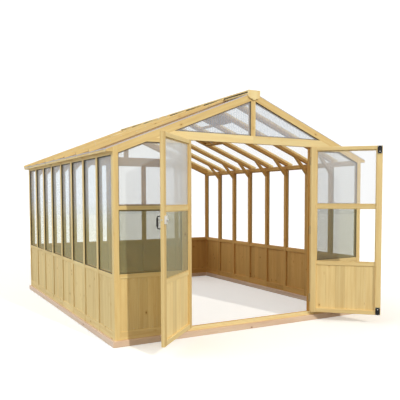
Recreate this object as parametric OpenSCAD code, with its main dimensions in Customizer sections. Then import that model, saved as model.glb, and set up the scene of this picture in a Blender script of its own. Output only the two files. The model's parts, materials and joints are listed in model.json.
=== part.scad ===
// Walk-in timber greenhouse with twin hinged doors, low boarded walls,
// twin-wall glazing, a ridged roof on rafters and two hinged roof vents.
// The origin is the middle of the doorway, in the plane of the front wall,
// on the underside of the base. X runs to the right, Y runs to the back.

/* [House] */
// Width of the house over its corner posts
house_w = 3000; // [2600:50:3400]
// Number of bays along each side wall
bay_n = 8; // [6:1:10]
// Spacing of the side posts and rafters
bay_pitch = 467; // [420:1:520]
// Width and depth of every post
post_w = 52; // [46:1:60]
// Height of the side posts' tops above the ground
post_top_z = 1754; // [1650:2:1780]
// Number of bays along the back wall
back_bay_n = 5; // [3:1:6]
// Flat cut along the edges of the timbers
arris = 3; // [1:0.5:4]

/* [Base] */
// Height of the base beams
base_h = 58; // [45:1:80]
// Width of the base beams
base_w = 89; // [80:1:110]
// Step of the base outside the walls
base_step = 20; // [10:1:30]

/* [Wall panels] */
// Height of the bottom rails
bottom_rail_h = 77; // [60:1:90]
// Height of the sill rails' undersides above the ground
sill_z = 625; // [500:5:750]
// Height of the sill rails
sill_h = 41; // [35:1:60]
// Height of the mid rails' undersides above the ground
mid_rail_z = 1253; // [1100:1:1400]
// Height of the mid rails
mid_rail_h = 40; // [30:1:60]
// Height of the head rails above the front and back panes
head_rail_h = 37; // [30:1:60]
// Setback of the rails behind the posts' faces
rail_inset = 2; // [1:0.5:4]
// Setback of the boards behind the posts' outer faces
board_inset = 10; // [6:1:14]
// Thickness of the boards
board_t = 16; // [12:1:20]
// Number of boards in a side bay
side_board_n = 4; // [3:1:6]
// Number of boards in a fixed front panel
front_board_n = 7; // [5:1:8]
// Number of boards in a back bay
back_board_n = 6; // [4:1:8]
// Chamfer that makes the groove between two boards
board_chamfer = 1.5; // [1:0.5:3]
// Open joint between two boards and between butted timbers
joint_gap = 0.4; // [0.2:0.1:0.8]
// Setback of the panes behind the posts' outer faces
pane_inset = 16; // [12:1:22]
// Thickness of the twin-wall panes
pane_t = 6; // [4:1:10]

/* [Roof] */
// Slope of the roof
roof_pitch = 22.3; // [20:0.1:26]
// Depth of the wall plates on the side posts
plate_h = 48; // [45:1:60]
// Height of the rafters' top edge over the plate at the wall's face
rafter_heel = 23; // [20:0.5:29]
// Upright depth of the inner rafters
rafter_d = 32; // [30:1:42]
// Upright depth of the gable rafters
gable_rafter_d = 74.5; // [70:0.5:88]
// Reach of the eaves beyond the walls
eave_out = 60; // [50:1:90]
// Thickness of the eave fascias
fascia_t = 18; // [12:1:22]
// Drop of the eave soffit under the plates' top
soffit_drop = 24; // [18:1:28]
// Height of the tie beams' undersides above the ground
tie_z = 1922; // [1900:1:1950]
// Depth of the tie beams
tie_h = 79; // [60:1:90]
// Thickness of the ridge beam
ridge_beam_w = 45; // [38:1:52]
// Depth of the ridge beam
ridge_beam_h = 110; // [90:5:130]
// Width of the ridge cap
cap_w = 140; // [120:5:170]
// Thickness of the ridge cap
cap_t = 16; // [12:1:22]
// Thickness of the roof sheets
sheet_t = 6; // [4:1:10]
// Gap between two roof sheets under a batten
sheet_gap = 4; // [2:1:8]
// Width of the battens
batten_w = 30; // [26:1:34]
// Thickness of the battens
batten_t = 26.5; // [20:0.5:30]
// Height of the knee braces' feet above the ground
brace_z = 1669; // [1600:1:1680]
// Reach of the knee braces from the posts along the rafters
brace_reach = 190; // [150:5:240]
// Thickness of the knee braces
brace_t = 40; // [30:1:48]
// Thickness of the finial plates
finial_t = 20; // [14:1:26]
// Height of the finial plates
finial_h = 98; // [85:1:110]

/* [Roof vents] */
// Bay that holds the roof vents, counted from the front
vent_bay = 5; // [2:1:6]
// Length of a vent down the slope
vent_len = 710; // [500:10:800]
// Gap between a vent and the battens beside it
vent_gap = 4; // [3:0.5:6]
// Width of the vent stiles
vent_stile_w = 45; // [35:1:60]
// Width of the vents' bottom rails
vent_rail_w = 66; // [60:1:80]
// Length of the vent stays
stay_len = 330; // [250:10:400]
// Bay of the boarded strip beside the ridge
infill_bay = 3; // [2:1:4]
// Reach of the boarded strip from the ridge
infill_reach = 330; // [250:5:400]

/* [Doors] */
// Width of each door leaf
leaf_w = 755; // [650:5:800]
// Thickness of the door leaves
leaf_t = 31; // [28:1:38]
// Gap under and over the leaves
leaf_gap = 3.5; // [3:0.5:6]
// Gap between the two closed leaves
meet_gap = 3; // [2:0.5:5]
// Height of the threshold
threshold_h = 39.5; // [34:0.5:50]
// Width of the door stiles
stile_w = 60; // [54:1:80]
// Height of the doors' bottom rails
door_bottom_h = 45; // [40:1:80]
// Height of the doors' top rails
door_top_h = 41; // [35:1:60]
// Number of boards in a door leaf
door_board_n = 6; // [5:1:8]
// Thickness of the door boards
door_board_t = 8; // [6:1:12]
// Setback of the door boards behind the leaves' outer face
door_board_inset = 1; // [0.5:0.5:3]
// Thickness of the doors' sill and mid rails
door_rail_t = 18; // [16:1:24]
// Setback of the door panes behind the leaves' outer face
door_pane_inset = 8; // [6:1:10]
// Thickness of the door stops on the jambs
stop_t = 12; // [10:1:14]
// How far both doors stand open, in degrees
door_rest = 134.5; // [95:0.5:150]

/* [Hinges] */
// Gap between a hung piece and what it hangs on
hinge_gap = 4; // [4:0.2:6]
// Distance of the door hinge pins in front of the wall
hinge_out = 8; // [7:0.5:10]
// Thickness of the hinge leaves
hinge_plate = 1.8; // [1.4:0.1:1.9]
// Radius of the hinge knuckles
knuckle_r = 6; // [5:0.5:6.5]
// Radius of the hinge pins
pin_r = 3; // [2.5:0.5:3.5]
// Height of the door hinges
door_hinge_h = 90; // [70:5:110]
// Height of the vent hinges
vent_hinge_h = 60; // [45:5:80]
// Distance of the outer door hinges from the ends of a leaf
hinge_inset = 150; // [120:5:250]

/* [Door fittings] */
// Height of the latch knob above the ground
latch_z = 1180; // [1100:5:1240]
// Radius of the latch bolt
latch_bolt_r = 5; // [4:0.5:7]
// How far the latch bolt stands out of its stile
latch_throw = 9; // [6:0.5:10]
// Height of the pull handle's middle above the ground
pull_z = 1157; // [1100:1:1240]
// Distance between the feet of the pull handle
pull_span = 106; // [90:2:140]
// Distance from the door to the middle of the pull handle's grip
pull_out = 38; // [34:1:50]
// Radius of the pull handle's rod
pull_r = 5; // [4:0.5:6]
// Width of the bolt plates
bolt_plate_w = 48; // [40:1:54]
// Height of the bolt plates
bolt_plate_h = 80; // [76:1:100]
// Radius of the door bolts
bolt_r = 5; // [4:0.5:6]

/* [Hidden] */
$fn = 48;
cut = 1;
bed_gap = 0.1;
half_w = house_w / 2;
house_l = bay_n * bay_pitch + post_w;
rise = tan(roof_pitch);
side_bay_w = bay_pitch - post_w;
rail_t = post_w - 2 * rail_inset;
panel_z0 = base_h + bottom_rail_h;
sill_top = sill_z + sill_h;
plate_z = post_top_z + plate_h;
soffit_z = plate_z - soffit_drop;
apex_z = plate_z + rafter_heel + half_w * rise;
ridge_out = 36;
finial_foot_w = 22;
batten_end = 45;
frame_h = sheet_t + batten_t;
cap_z = roof_z(cap_w / 2) + frame_h / cos(roof_pitch);
slope_start = ridge_out / cos(roof_pitch);
slope_end = (half_w + eave_out) / cos(roof_pitch);
rafter_seat = (apex_z - rafter_d - plate_z) / rise;

opening_w = 2 * (leaf_w + hinge_gap) + meet_gap;
jamb_x = opening_w / 2;
front_panel_x = half_w - post_w;
front_panel_w = front_panel_x - jamb_x - post_w;
head_z = tie_z - head_rail_h;
threshold_top = base_h + threshold_h;
leaf_z = threshold_top + leaf_gap;
leaf_top = tie_z - leaf_gap;
leaf_h = leaf_top - leaf_z;
axis_x = -jamb_x + hinge_gap / 2;
stop_gap = 1;
back_pitch = (house_w - post_w) / back_bay_n;

hinge_play = 0.4;
pin_play = 0.05;
face_play = 0.3;
vent_axis_h = frame_h + knuckle_r;
cap_clear = 2;
vent_axis_s = (cap_w / 2 + knuckle_r + cap_clear - vent_axis_h * sin(roof_pitch)) / cos(roof_pitch);
vent_s0 = vent_axis_s + hinge_gap / 2;
vent_s1 = vent_s0 + vent_len;
vent_y0 = rafter_y(vent_bay) + (batten_w + post_w) / 2 + vent_gap;
vent_y1 = rafter_y(vent_bay + 1) + (post_w - batten_w) / 2 - vent_gap;
vent_mid_y = (vent_y0 + vent_y1) / 2;
vent_lap = 30;
trimmer_s = vent_s1 - vent_lap;
vent_pane_lift = 8;
vent_arris = 2;
vent_hinge_inset = 60;
stay_t = 3;
stay_w = 18;
stay_back = 14;
stay_s = trimmer_s - stay_back;
stay_h = -12;
stay_hole_step = 40;
stay_hole_play = 1;
lug_t = 12;
lug_w = 18;
lug_h = 21;
pin_head_r = 4.5;
pin_head_t = 2;
peg_reach = 22;
peg_t = 8;
peg_foot_t = 14;
peg_h = 16;
peg_drop = 12;
infill_t = 12;
infill_rail_w = 20;
infill_rail_d = 28;
brace_foot = 60;
brace_head = 55;

fitting_x = hinge_gap + leaf_w - stile_w / 2;
leaf_edge_x = hinge_gap + leaf_w;
latch_case_w = 40;
latch_case_h = 71;
latch_case_t = 14;
latch_arris = 2;
knob_r = 11;
knob_h = 15;
knob_neck_r = 7.5;
knob_round = 3;
spindle_r = 4;
bolt_tail = 26;
strike_play = 5;
bolt_plate_t = 2.5;
bolt_plate_arris = 0.8;
bolt_stand = 7;
bolt_axis_y = leaf_t + bolt_plate_t + bolt_stand;
guide_h = 12;
guide_w = 20;
guide_wall = 2.3;
finger_r = bolt_r - 1;
finger_grip = 12;
finger_reach = bolt_r + finger_grip;
finger_gap = 1;
bolt_gap = 2;
keep_play = 1;
keep_depth = 24;

wood = "#e3c27c";
shade_wood = "#d2ab66";
base_wood = "#dcb8a0";
glaze = "#c4d0d6";
iron = "#26272a";
steel = "#b9bcc0";

// Front face of rafter i, counted from 1 at the front gable
function rafter_y(i) = (i - 1) * bay_pitch;
// Height of the rafters' top edge at distance d from the ridge
function roof_z(d) = apex_z - d * rise;
// Distance from the ridge at which the gable rafters' underside is at height z
function under_gable(z) = (apex_z - gable_rafter_d - z) / rise;
// Point at distance s down the slope and h above the rafters
function on_slope(s, h) = [s * cos(roof_pitch) + h * sin(roof_pitch),
                           apex_z - s * sin(roof_pitch) + h * cos(roof_pitch)];

// Draws the children and their mirror image on the other side of the house
module both_sides() {
    children();
    mirror([1, 0, 0]) children();
}

// Rectangle with its four corners cut
module eased(w, h, c = arris) {
    polygon([[c, 0], [w - c, 0], [w, c], [w, h - c], [w - c, h], [c, h], [0, h - c], [0, c]]);
}

// Timber of a given size with cut edges, its length along one axis
module timber(size, along, c = arris) {
    if (along == "x") rotate([90, 0, 90]) linear_extrude(size.x) eased(size.y, size.z, c);
    if (along == "y")
        translate([0, size.y, 0]) rotate([90, 0, 0]) linear_extrude(size.y) eased(size.x, size.z, c);
    if (along == "z") linear_extrude(size.z) eased(size.x, size.y, c);
}

// Profile in the X-Z plane made into a piece from y to y + t
module upright(y, t) {
    translate([0, y + t, 0]) rotate([90, 0, 0]) linear_extrude(t) children();
}

// Right slope's own frame: X down the slope, Z square to it
module slope() {
    translate([0, 0, apex_z]) rotate([0, roof_pitch, 0]) children();
}

// Row of n upright boards with chamfered edges and open joints, from x = 0 to w
module board_row(w, h, t, n) {
    board = (w - (n - 1) * joint_gap) / n;
    for (i = [0:n - 1]) translate([i * (board + joint_gap), 0, 0])
        linear_extrude(h) eased(board, t, board_chamfer);
}

// Draws the children once in each side bay, with Y from one post to the next
module side_bays() {
    both_sides() for (i = [1:bay_n]) translate([half_w, rafter_y(i) + post_w, 0]) children();
}

// Draws the children once in each back bay, with X from one post to the next
module back_bays() {
    for (i = [0:back_bay_n - 1])
        translate([-half_w + post_w + i * back_pitch, house_l, 0]) children();
}

module base_beams() {
    color(base_wood) {
        for (y = [-base_step, house_l + base_step - base_w])
            translate([-half_w - base_step, y, 0])
                timber([house_w + 2 * base_step, base_w, base_h], "x");
        both_sides() translate([half_w + base_step - base_w, base_w - base_step + joint_gap, 0])
            timber([base_w, house_l + 2 * (base_step - base_w - joint_gap), base_h], "y");
    }
}

// Corner posts, their tops raked to the roof between a gable rafter and its tail
module corner_posts() {
    x = half_w - post_w;
    color(wood) both_sides() for (y = [0, house_l - post_w]) intersection() {
        translate([x, y, base_h]) timber([post_w, post_w, roof_z(x) - base_h], "z");
        upright(y, post_w)
            polygon([[x, base_h], [half_w, base_h], [half_w, roof_z(half_w)], [x, roof_z(x)]]);
    }
}

module wall_posts() {
    color(wood) {
        both_sides() for (i = [2:bay_n]) translate([half_w - post_w, rafter_y(i), base_h])
            timber([post_w, post_w, post_top_z - base_h], "z");
        for (i = [1:back_bay_n - 1])
            translate([-half_w + i * back_pitch, house_l - post_w, base_h])
                timber([post_w, post_w, tie_z - base_h], "z");
    }
}

module side_bottom_rails() {
    color(wood) side_bays() translate([rail_inset - post_w, 0, base_h])
        timber([rail_t, side_bay_w, bottom_rail_h], "y");
}

module side_boards() {
    color(wood) side_bays() translate([-board_inset, 0, panel_z0]) rotate([0, 0, 90])
        board_row(side_bay_w, sill_z - panel_z0, board_t, side_board_n);
}

module side_sill_rails() {
    color(wood) side_bays() translate([rail_inset - post_w, 0, sill_z])
        timber([rail_t, side_bay_w, sill_h], "y");
}

module side_panes() {
    color(glaze) side_bays() translate([-pane_inset - pane_t, 0, sill_top])
        cube([pane_t, side_bay_w, post_top_z - sill_top]);
}

module wall_plates() {
    color(wood) both_sides() translate([half_w - post_w, post_w, post_top_z])
        timber([post_w, house_l - 2 * post_w, plate_h], "y");
}

module eave_fascias() {
    d = half_w + eave_out;
    color(wood) both_sides() upright(post_w, house_l - 2 * post_w)
        polygon([[d, soffit_z], [d, roof_z(d)], [d - fascia_t, roof_z(d - fascia_t)],
                 [d - fascia_t, soffit_z]]);
}

module threshold() {
    color(wood) difference() {
        translate([-jamb_x, 0, base_h]) timber([opening_w, post_w, threshold_h], "x");
        bolt_keep(threshold_top - keep_depth);
    }
}

// Blind hole that a bolt of the right leaf shoots into
module bolt_keep(z) {
    translate([jamb_x - fitting_x, bolt_axis_y, z]) cylinder(r = bolt_r + keep_play, h = keep_depth + cut);
}

module front_rails() {
    x0 = jamb_x + post_w;
    color(wood) both_sides() {
        translate([x0, rail_inset, base_h]) timber([front_panel_w, rail_t, bottom_rail_h], "x");
        translate([x0, rail_inset, sill_z]) timber([front_panel_w, rail_t, sill_h], "x");
        translate([x0, rail_inset, mid_rail_z]) timber([front_panel_w, rail_t, mid_rail_h], "x");
        upright(rail_inset, rail_t)
            polygon([[x0, head_z], [under_gable(head_z), head_z], [under_gable(tie_z), tie_z],
                     [x0, tie_z]]);
    }
}

module front_boards() {
    color(wood) both_sides() translate([jamb_x + post_w, board_inset, panel_z0])
        board_row(front_panel_w, sill_z - panel_z0, board_t, front_board_n);
}

module door_jambs() {
    color(wood) both_sides() translate([jamb_x, 0, base_h])
        timber([post_w, post_w, tie_z - base_h], "z");
}

module door_stops() {
    y0 = leaf_t + stop_gap;
    color(wood) both_sides() translate([jamb_x - stop_t, y0, threshold_top])
        timber([stop_t, post_w - y0 - rail_inset, tie_z - threshold_top], "z", 1);
}

// Pane under a gable rafter, from x0 outwards to x1, with its top cut to the roof
module raked_pane(x0, x1, z0) {
    polygon([[x0, z0], [x1, z0], [x1, roof_z(x1) - gable_rafter_d], [under_gable(head_z), head_z],
             [x0, head_z]]);
}

module front_panes() {
    x0 = jamb_x + post_w;
    color(glaze) both_sides() {
        translate([x0, pane_inset, sill_top]) cube([front_panel_w, pane_t, mid_rail_z - sill_top]);
        upright(pane_inset, pane_t) raked_pane(x0, front_panel_x, mid_rail_z + mid_rail_h);
    }
}

// Tie beam with its ends cut to the gable rafters
module tie_beam(y) {
    d0 = under_gable(tie_z);
    d1 = under_gable(tie_z + tie_h);
    color(wood) upright(y, post_w)
        polygon([[-d0, tie_z], [d0, tie_z], [d1, tie_z + tie_h], [-d1, tie_z + tie_h]]);
}

module front_tie_beam() {
    difference() {
        tie_beam(0);
        bolt_keep(tie_z - cut);
    }
}

module back_tie_beam() {
    tie_beam(house_l - post_w);
}

// Gable rafters, butted against the corner posts, and their tails outside the posts
module gable_rafters() {
    tip = half_w + eave_out;
    foot = half_w - post_w;
    mitre = joint_gap / 2;
    color(wood) both_sides() for (y = [0, house_l - post_w]) upright(y, post_w) {
        polygon([[mitre, roof_z(mitre)], [foot, roof_z(foot)],
                 [foot, roof_z(foot) - gable_rafter_d], [mitre, roof_z(mitre) - gable_rafter_d]]);
        polygon([[half_w, soffit_z], [tip, soffit_z], [tip, roof_z(tip)], [half_w, roof_z(half_w)]]);
    }
}

module king_posts() {
    w = post_w / 2;
    color(wood) for (y = [0, house_l - post_w]) upright(y, post_w)
        polygon([[-w, tie_z + tie_h], [w, tie_z + tie_h], [w, roof_z(w) - gable_rafter_d],
                 [0, apex_z - gable_rafter_d], [-w, roof_z(w) - gable_rafter_d]]);
}

module gable_panes() {
    w = post_w / 2;
    z0 = tie_z + tie_h;
    color(glaze) both_sides() for (y = [pane_inset, house_l - pane_inset - pane_t])
        upright(y, pane_t) polygon([[w, z0], [under_gable(z0), z0], [w, roof_z(w) - gable_rafter_d]]);
}

module back_rails() {
    w = back_pitch - post_w;
    y = rail_inset - post_w;
    color(wood) {
        back_bays() {
            translate([0, y, base_h]) timber([w, rail_t, bottom_rail_h], "x");
            translate([0, y, sill_z]) timber([w, rail_t, sill_h], "x");
        }
        for (i = [1:back_bay_n - 2]) translate([-half_w + post_w + i * back_pitch, house_l + y, head_z])
            timber([w, rail_t, head_rail_h], "x");
        both_sides() upright(house_l + y, rail_t)
            polygon([[half_w - back_pitch, head_z], [under_gable(head_z), head_z],
                     [under_gable(tie_z), tie_z], [half_w - back_pitch, tie_z]]);
    }
}

module back_boards() {
    color(wood) back_bays() translate([0, -board_inset - board_t, panel_z0])
        board_row(back_pitch - post_w, sill_z - panel_z0, board_t, back_board_n);
}

module back_panes() {
    y = house_l - pane_inset - pane_t;
    color(glaze) {
        for (i = [1:back_bay_n - 2]) translate([-half_w + post_w + i * back_pitch, y, sill_top])
            cube([back_pitch - post_w, pane_t, head_z - sill_top]);
        both_sides() upright(y, pane_t)
            raked_pane(half_w - back_pitch, half_w - post_w, sill_top);
    }
}

module ridge_beam() {
    color(shade_wood) translate([-ridge_beam_w / 2, post_w, cap_z - ridge_beam_h])
        cube([ridge_beam_w, house_l - 2 * post_w, ridge_beam_h]);
}

module ridge_cap() {
    color(wood) translate([-cap_w / 2, 0, cap_z]) timber([cap_w, house_l, cap_t], "y");
}

// Gable plate over the end of the ridge cap: square shoulders and a rounded foot
module finials() {
    shoulder = finial_h / 2;
    top = cap_z + cap_t;
    curve = [for (a = [0:10:90]) [finial_foot_w + (cap_w / 2 - finial_foot_w) * cos(a),
                                  top - shoulder - (finial_h - shoulder - finial_foot_w / 2) * sin(a)]];
    foot = [for (a = [15:15:90])
            [finial_foot_w * cos(a), top - finial_h + finial_foot_w / 2 * (1 - sin(a))]];
    edge = concat([[cap_w / 2, top]], curve, foot);
    far = [for (i = [len(edge) - 2:-1:0]) [-edge[i].x, edge[i].y]];
    color(wood) for (y = [-finial_t, house_l]) upright(y, finial_t) polygon(concat(edge, far));
}

module inner_rafters() {
    d0 = ridge_beam_w / 2;
    d1 = half_w + eave_out - fascia_t;
    color(shade_wood) both_sides() for (i = [2:bay_n]) upright(rafter_y(i), post_w)
        polygon([[d0, roof_z(d0)], [d1, roof_z(d1)], [d1, soffit_z], [half_w, soffit_z],
                 [half_w, plate_z], [rafter_seat, plate_z], [d0, roof_z(d0) - rafter_d]]);
}

module knee_braces() {
    foot = half_w - post_w;
    head = foot - brace_reach;
    color(shade_wood) both_sides() for (i = [2:bay_n])
        upright(rafter_y(i) + (post_w - brace_t) / 2, brace_t)
            polygon([[foot, brace_z], [foot, brace_z + brace_foot],
                     [head + brace_head, roof_z(head + brace_head) - rafter_d],
                     [head, roof_z(head) - rafter_d]]);
}

module roof_sheets() {
    color(glaze) for (i = [1:bay_n]) {
        y0 = i == 1 ? 0 : rafter_y(i) + (post_w + sheet_gap) / 2;
        y1 = i == bay_n ? house_l : rafter_y(i + 1) + (post_w - sheet_gap) / 2;
        s0 = i == vent_bay ? vent_s1 + vent_gap : slope_start;
        both_sides() slope() translate([s0, y0, bed_gap])
            cube([slope_end - s0, y1 - y0, sheet_t - 2 * bed_gap]);
    }
}

// Batten profile: its upper end is cut level under the ridge cap
module batten_profile() {
    polygon([[batten_end, roof_z(batten_end) + sheet_t / cos(roof_pitch)], [batten_end, cap_z],
             [cap_w / 2, cap_z], on_slope(slope_end, frame_h), on_slope(slope_end, sheet_t)]);
}

module battens() {
    color(wood) both_sides() for (i = [2:bay_n + 1])
        upright(rafter_y(i) + (post_w - batten_w) / 2, batten_w) batten_profile();
}

module vent_trimmers() {
    y0 = rafter_y(vent_bay) + post_w;
    head = vent_axis_s - hinge_gap / 2;
    color(shade_wood) both_sides() {
        slope() translate([trimmer_s, y0, -rafter_d * cos(roof_pitch)])
            cube([post_w, side_bay_w, rafter_d * cos(roof_pitch)]);
        upright(vent_y0, vent_y1 - vent_y0)
            polygon([[ridge_out, roof_z(ridge_out)], [ridge_out, cap_z], [cap_w / 2, cap_z],
                     on_slope(head, frame_h), on_slope(head, 0)]);
    }
}

// Boarded strip under the roof sheet beside the ridge, with its rail, on the right slope
module ridge_infill() {
    s0 = (ridge_beam_w / 2 + infill_t) / cos(roof_pitch);
    s1 = infill_reach / cos(roof_pitch);
    board = (side_bay_w - (side_board_n - 1) * joint_gap) / side_board_n;
    color(shade_wood) slope() {
        for (i = [0:side_board_n - 1])
            translate([s0, rafter_y(infill_bay) + post_w + i * (board + joint_gap), -infill_t])
                cube([s1 - s0 - joint_gap, board, infill_t]);
        for (i = [infill_bay, infill_bay + 1]) translate([s1, rafter_y(i) + post_w, -infill_rail_d])
            cube([infill_rail_w, side_bay_w, infill_rail_d]);
    }
}

// Hinge leaf about the Z axis: the fixed one lies at -X and holds the outer knuckles
module hinge_leaf(height, reach, fixed) {
    seg = height / 3;
    x0 = fixed ? -hinge_gap / 2 : hinge_gap / 2 - hinge_plate;
    y0 = knuckle_r + hinge_play;
    difference() {
        union() {
            translate([x0, y0, 0]) cube([hinge_plate, reach - y0, height]);
            for (k = fixed ? [0, 2] : [1]) translate([0, 0, k * seg + hinge_play / 2]) {
                cylinder(r = knuckle_r, h = seg - hinge_play);
                translate([x0, 0, 0]) cube([hinge_plate, y0, seg - hinge_play]);
            }
        }
        translate([0, 0, -cut]) cylinder(r = pin_r + pin_play, h = height + 2 * cut);
    }
}

// Hinge pin with a head that rests on the top knuckle
module hinge_pin(height) {
    cylinder(r = pin_r, h = height - hinge_play / 2);
    translate([0, 0, height - hinge_play / 2]) cylinder(r = pin_head_r, h = pin_head_t);
}

function door_hinge_z() = [leaf_z + hinge_inset - door_hinge_h / 2,
                           leaf_z + (leaf_h - door_hinge_h) / 2,
                           leaf_top - hinge_inset - door_hinge_h / 2];

// Draws the children at the three hinges of the left jamb
module at_jamb() {
    for (z = door_hinge_z()) translate([axis_x, -hinge_out, z]) children();
}

// Draws the children at the two hinges of the right slope's vent
module at_vent_header() {
    for (y = [vent_y0 + vent_hinge_inset, vent_y1 - vent_hinge_inset - vent_hinge_h])
        slope() translate([vent_axis_s, y, vent_axis_h]) rotate([-90, 0, 0]) children();
}

module jamb_hinges() {
    color(iron) both_sides() at_jamb()
        hinge_leaf(door_hinge_h, hinge_out + leaf_t - stop_gap, true);
}

module hinge_pins() {
    color(steel) both_sides() {
        at_jamb() hinge_pin(door_hinge_h);
        at_vent_header() hinge_pin(vent_hinge_h);
    }
}

module vent_fixed_fittings() {
    color(steel) both_sides() {
        at_vent_header() hinge_leaf(vent_hinge_h, vent_axis_h - cut, true);
        slope() translate([trimmer_s, vent_mid_y, 0]) {
            translate([-peg_t, -peg_reach, -peg_drop - peg_h]) cube([peg_t, peg_foot_t, peg_h]);
            translate([-peg_t / 2, peg_foot_t - peg_reach - cut, -peg_drop - peg_h / 2])
                rotate([-90, 0, 0])
                    cylinder(r = pin_r, h = peg_reach - peg_foot_t + cut - stay_t - pin_play);
        }
    }
}

// Places a piece of the closed left leaf, drawn from the jamb's face, at its open rest
module left_leaf() {
    translate([axis_x, -hinge_out, 0]) rotate([0, 0, -door_rest])
        translate([-hinge_gap / 2, hinge_out, 0]) children();
}

module right_leaf() {
    mirror([1, 0, 0]) left_leaf() children();
}

module leaf_hinges() {
    color(iron) for (z = door_hinge_z()) translate([hinge_gap / 2, -hinge_out, z])
        hinge_leaf(door_hinge_h, hinge_out + leaf_t - stop_gap, false);
}

module leaf_stiles() {
    for (x = [hinge_gap, leaf_edge_x - stile_w]) translate([x, 0, leaf_z])
        timber([stile_w, leaf_t, leaf_h], "z");
}

module leaf_rails() {
    bars = [[leaf_z, door_bottom_h, leaf_t], [sill_z, sill_h, door_rail_t],
            [mid_rail_z, mid_rail_h, door_rail_t], [leaf_top - door_top_h, door_top_h, leaf_t]];
    color(wood) for (bar = bars) translate([hinge_gap + stile_w, 0, bar[0]])
        timber([leaf_w - 2 * stile_w, bar[2], bar[1]], "x");
}

module leaf_boards() {
    z0 = leaf_z + door_bottom_h;
    color(wood) translate([hinge_gap + stile_w, door_board_inset, z0])
        board_row(leaf_w - 2 * stile_w, sill_z - z0, door_board_t, door_board_n);
}

module leaf_panes() {
    w = leaf_w - 2 * stile_w;
    gap_z = mid_rail_z + mid_rail_h;
    color(glaze) translate([hinge_gap + stile_w, door_pane_inset, 0]) {
        translate([0, 0, sill_top]) cube([w, pane_t, mid_rail_z - sill_top]);
        translate([0, 0, gap_z]) cube([w, pane_t, leaf_top - door_top_h - gap_z]);
    }
}

module left_door_stiles() {
    depth = 2 * latch_throw + bolt_tail;
    color(wood) left_leaf() difference() {
        leaf_stiles();
        translate([leaf_edge_x + cut, leaf_t / 2, latch_z]) rotate([0, -90, 0])
            cylinder(r = latch_bolt_r + pin_play, h = depth + cut);
    }
}

module left_door_rails() left_leaf() leaf_rails();
module left_door_boards() left_leaf() leaf_boards();
module left_door_panes() left_leaf() leaf_panes();
module left_door_hinges() left_leaf() leaf_hinges();

module right_door_stiles() {
    strike = latch_throw + strike_play;
    color(wood) right_leaf() difference() {
        leaf_stiles();
        translate([leaf_edge_x + cut, leaf_t / 2, latch_z]) rotate([0, -90, 0])
            cylinder(r = latch_bolt_r + keep_play, h = strike + cut);
    }
}

module right_door_rails() right_leaf() leaf_rails();
module right_door_boards() right_leaf() leaf_boards();
module right_door_panes() right_leaf() leaf_panes();
module right_door_hinges() right_leaf() leaf_hinges();

// Bent rod handle on the outer face, with a rose at each foot
module pull_handle() {
    bend = 12;
    rose_r = 11;
    rose_t = 3;
    half = pull_span / 2;
    color(iron) left_leaf() translate([fitting_x, 0, pull_z]) {
        for (end = [0, 1]) mirror([0, 0, end]) {
            translate([0, 0, half]) rotate([90, 0, 0]) {
                cylinder(r = rose_r, h = rose_t);
                cylinder(r = pull_r, h = pull_out - bend);
            }
            translate([0, bend - pull_out, half - bend]) rotate([0, -90, 180])
                rotate_extrude(angle = 90) translate([bend, 0]) circle(r = pull_r);
        }
        translate([0, -pull_out, bend - half])
            cylinder(r = pull_r, h = pull_span - 2 * bend);
    }
}

module latch_case() {
    color(steel) left_leaf() difference() {
        translate([fitting_x - latch_case_w / 2, leaf_t, latch_z - latch_case_h / 2])
            timber([latch_case_w, latch_case_t, latch_case_h], "z", latch_arris);
        translate([fitting_x, leaf_t - cut, latch_z]) rotate([-90, 0, 0])
            cylinder(r = spindle_r + pin_play, h = latch_case_t + 2 * cut);
    }
}

module latch_knob() {
    neck = latch_case_t + face_play;
    top = neck + knob_h;
    color(steel) left_leaf() translate([fitting_x, leaf_t, latch_z]) rotate([-90, 0, 0])
        rotate_extrude() polygon([[0, face_play], [spindle_r, face_play], [spindle_r, neck],
                                  [knob_neck_r, neck], [knob_neck_r, neck + knob_h / 3],
                                  [knob_r, neck + knob_h / 2], [knob_r, top - knob_round],
                                  [knob_r - knob_round, top], [0, top]]);
}

module latch_bolt() {
    length = latch_throw + bolt_tail;
    color(steel) left_leaf() translate([leaf_edge_x + latch_throw, leaf_t / 2, latch_z])
        rotate([0, -90, 0]) cylinder(r = latch_bolt_r, h = length);
}

// Plate with two guides for a sliding bolt, drawn upwards from z
module bolt_plate(z) {
    translate([fitting_x - bolt_plate_w / 2, leaf_t, z]) {
        timber([bolt_plate_w, bolt_plate_t, bolt_plate_h], "z", bolt_plate_arris);
        for (z = [0, bolt_plate_h - guide_h]) difference() {
            translate([(bolt_plate_w - guide_w) / 2, bolt_plate_t / 2, z])
                cube([guide_w, bolt_plate_t / 2 + bolt_stand + bolt_r + guide_wall, guide_h]);
            translate([bolt_plate_w / 2, bolt_axis_y - leaf_t, z - cut])
                cylinder(r = bolt_r + pin_play, h = guide_h + 2 * cut);
        }
    }
}

// Round bolt along Z from 0 up to the given length, with a finger knob at height k
module bolt_rod(length, k) {
    cylinder(r = bolt_r, h = length);
    translate([0, 0, k]) rotate([-90, 0, 0]) cylinder(r = finger_r, h = finger_reach);
}

module bolt_plates() {
    color(iron) right_leaf() {
        bolt_plate(leaf_top - bolt_gap - bolt_plate_h);
        bolt_plate(leaf_z + bolt_gap);
    }
}

module top_bolt() {
    color(steel) right_leaf()
        translate([fitting_x, bolt_axis_y, leaf_top - bolt_gap - bolt_plate_h])
            bolt_rod(bolt_plate_h, guide_h + bolt_r + finger_gap);
}

module bottom_bolt() {
    color(steel) right_leaf() translate([fitting_x, bolt_axis_y, leaf_z + bolt_gap])
        bolt_rod(bolt_plate_h, bolt_plate_h - guide_h - bolt_r - finger_gap);
}

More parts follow.
